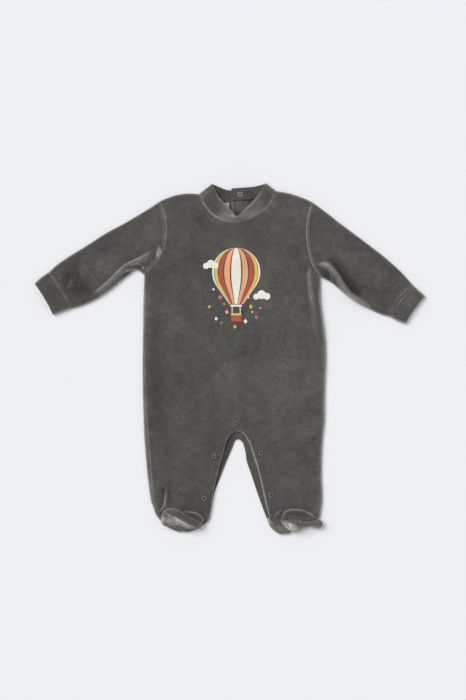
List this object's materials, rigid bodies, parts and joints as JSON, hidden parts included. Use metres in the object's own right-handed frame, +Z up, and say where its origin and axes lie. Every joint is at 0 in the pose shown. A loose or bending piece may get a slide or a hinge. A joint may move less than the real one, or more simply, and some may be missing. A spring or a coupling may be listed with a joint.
{
  "type": "footed baby sleepsuit",
  "caption": "Velour baby sleepsuit with long cuffed sleeves, a neck band lapped at the back, a snapped inseam and closed feet, laid flat on its back.",
  "frame": {"origin": "on the surface that the garment lies on, under the middle of its outline", "axes": "+Z up out of the laid-out garment's front, +X across it from cuff to cuff, +Y from the feet to the neck"},
  "size_m": [0.5845, 0.526, 0.021],
  "materials": {
    "velour": "short dark grey pile with a soft sheen",
    "band": "the same velour, doubled over and turned",
    "label": "plain white woven tape",
    "ring": "dull dark grey enamel"
  },
  "bodies": {
    "root": {"front": "velour", "back_left": "velour", "back_right": "velour", "sleeve_left": "velour", "sleeve_right": "velour", "cuff_left": "band", "cuff_right": "band", "collar": "band", "placket": "velour", "label": "label", "heel_left": "velour", "heel_right": "velour", "sole_left": "velour", "sole_right": "velour", "vamp_left": "velour", "vamp_right": "velour", "snap_1": "ring", "snap_2": "ring", "snap_3": "ring", "snap_4": "ring", "snap_5": "ring", "snap_6": "ring"}
  },
  "joints": []
}
